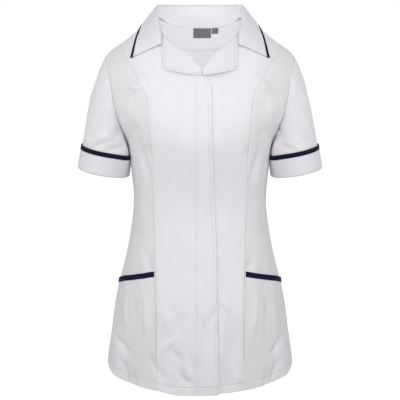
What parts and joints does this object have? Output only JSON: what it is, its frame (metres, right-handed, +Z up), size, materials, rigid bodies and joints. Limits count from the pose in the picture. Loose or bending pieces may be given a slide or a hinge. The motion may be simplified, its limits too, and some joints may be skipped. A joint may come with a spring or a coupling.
{
  "type": "medical tunic",
  "caption": "Short-sleeved healthcare tunic in its worn, hollow form: princess-seamed, turned collar and square reveres, concealed front fastening, turned-up cuffs and bound hip pockets.",
  "frame": {"origin": "middle of the neck opening, between the shoulder seams, at the height of their neck ends, where the wearer's shoulders carry the garment", "axes": "+Z up along the wearer's spine, -Y to the front of the garment, +X to the wearer's left"},
  "size_m": [0.502, 0.2862, 0.7694],
  "materials": {
    "white_cloth": "plain woven polyester cotton, matt, pressed",
    "navy_trim": "plain woven polyester cotton, matt",
    "label_tape": "woven tape, slightly smooth"
  },
  "bodies": {
    "root": {"front_right": "white_cloth", "front_left": "white_cloth", "side_front_right": "white_cloth", "side_front_left": "white_cloth", "back": "white_cloth", "back_facing": "white_cloth", "collar": "white_cloth", "revere_right": "white_cloth", "revere_left": "white_cloth", "sleeve_right": "white_cloth", "sleeve_left": "white_cloth", "cuff_right": "white_cloth", "cuff_left": "white_cloth", "pocket_right": "white_cloth", "pocket_left": "white_cloth", "collar_piping": "navy_trim", "cuff_band_right": "navy_trim", "cuff_band_left": "navy_trim", "pocket_binding_right": "navy_trim", "pocket_binding_left": "navy_trim", "neck_label": "label_tape", "size_tab": "label_tape"}
  },
  "joints": []
}
